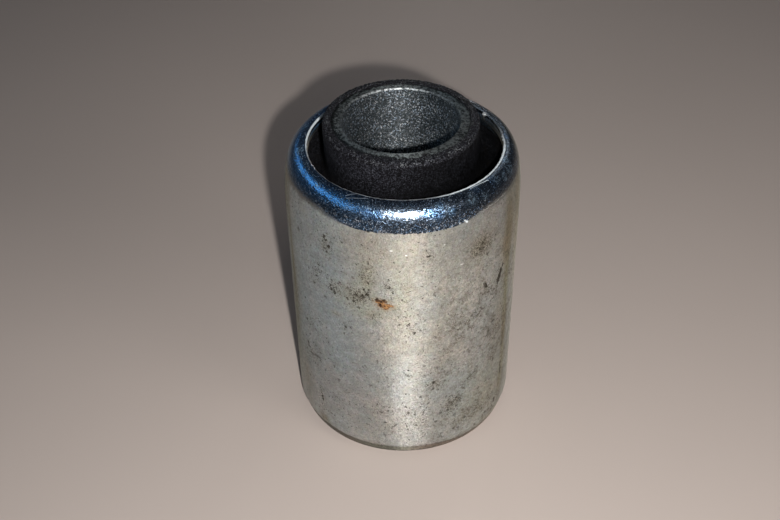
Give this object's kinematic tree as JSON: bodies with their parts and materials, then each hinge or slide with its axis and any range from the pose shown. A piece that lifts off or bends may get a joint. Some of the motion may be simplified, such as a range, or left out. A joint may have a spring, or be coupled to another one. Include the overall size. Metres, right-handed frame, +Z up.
{
  "type": "rubber metal bush",
  "caption": "Cylindrical rubber-metal bush: rolled zinc-plated steel sleeve, bonded rubber body and a steel inner tube that stands proud at the rolled end.",
  "frame": {"origin": "centre of the sleeve's lower end, on the common axis, at the level it stands on", "axes": "+Z up the common axis towards the rolled end, where the inner tube stands proud; X and Y are free, because every piece is round"},
  "size_m": [0.033, 0.033, 0.0488],
  "materials": {
    "zinc_steel": "zinc plated, satin wall with fine pitting, burnished roll",
    "bonded_rubber": "matt moulded rubber",
    "phosphated_steel": "rough grey phosphate and bonding primer"
  },
  "bodies": {
    "root": {"outer_sleeve": "zinc_steel", "rubber_body": "bonded_rubber", "inner_tube": "phosphated_steel"}
  },
  "joints": []
}
